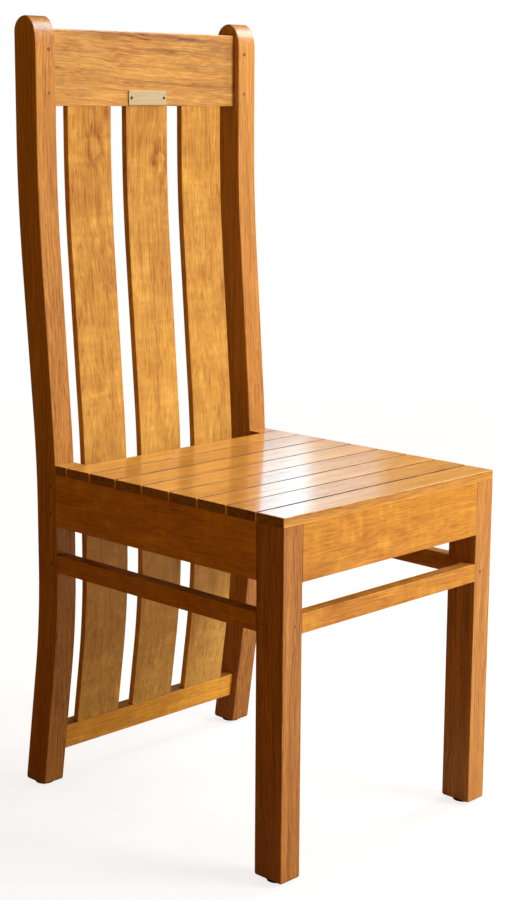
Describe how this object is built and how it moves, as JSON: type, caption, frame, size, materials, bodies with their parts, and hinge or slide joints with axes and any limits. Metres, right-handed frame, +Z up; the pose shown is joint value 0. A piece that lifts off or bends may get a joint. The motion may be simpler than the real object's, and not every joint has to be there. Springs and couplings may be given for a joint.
{
  "type": "high back wooden side chair",
  "caption": "Rigid high-backed wooden chair with curved rear posts, upright back slats, a boarded seat, deep aprons and thin stretchers.",
  "frame": {"origin": "on the floor, at the middle of the chair's footprint", "axes": "+Z up, -Y towards the front of the seat, +X towards the right as seen from the front"},
  "size_m": [0.398, 0.4927, 1.04],
  "materials": {
    "frame_wood": "satin lacquer",
    "slat_wood": "satin lacquer",
    "seat_wood": "gloss lacquer",
    "inner_wood": "unfinished",
    "peg_wood": "end grain, lacquered",
    "brass": "brushed",
    "steel": "zinc plated",
    "glide": "matte"
  },
  "bodies": {
    "root": {"back_slat_center": "slat_wood", "back_slat_left": "slat_wood", "back_slat_right": "slat_wood", "cleat_screws": "steel", "corner_block_front_left": "inner_wood", "corner_block_front_right": "inner_wood", "corner_block_rear_left": "inner_wood", "corner_block_rear_right": "inner_wood", "corner_block_screws": "steel", "crest_rail": "frame_wood", "crest_rail_pegs": "peg_wood", "foot_glide_front_left": "glide", "foot_glide_front_right": "glide", "foot_glide_rear_left": "glide", "foot_glide_rear_right": "glide", "front_apron": "frame_wood", "front_leg_left": "frame_wood", "front_leg_right": "frame_wood", "front_stretcher": "frame_wood", "front_stretcher_pegs": "peg_wood", "lower_back_rail": "frame_wood", "name_plate": "brass", "name_plate_pins": "brass", "rear_post_left": "frame_wood", "rear_post_right": "frame_wood", "rear_seat_rail": "inner_wood", "seat_board_1": "seat_wood", "seat_board_2": "seat_wood", "seat_board_3": "seat_wood", "seat_board_4": "seat_wood", "seat_board_5": "seat_wood", "seat_board_6": "seat_wood", "seat_board_7": "seat_wood", "seat_board_8": "seat_wood", "seat_board_screws": "steel", "seat_cleat_front": "inner_wood", "seat_cleat_left": "inner_wood", "seat_cleat_right": "inner_wood", "seat_filler_left": "seat_wood", "seat_filler_right": "seat_wood", "side_apron_left": "frame_wood", "side_apron_pegs": "peg_wood", "side_apron_right": "frame_wood", "side_stretcher_left": "frame_wood", "side_stretcher_pegs": "peg_wood", "side_stretcher_right": "frame_wood"}
  },
  "joints": []
}
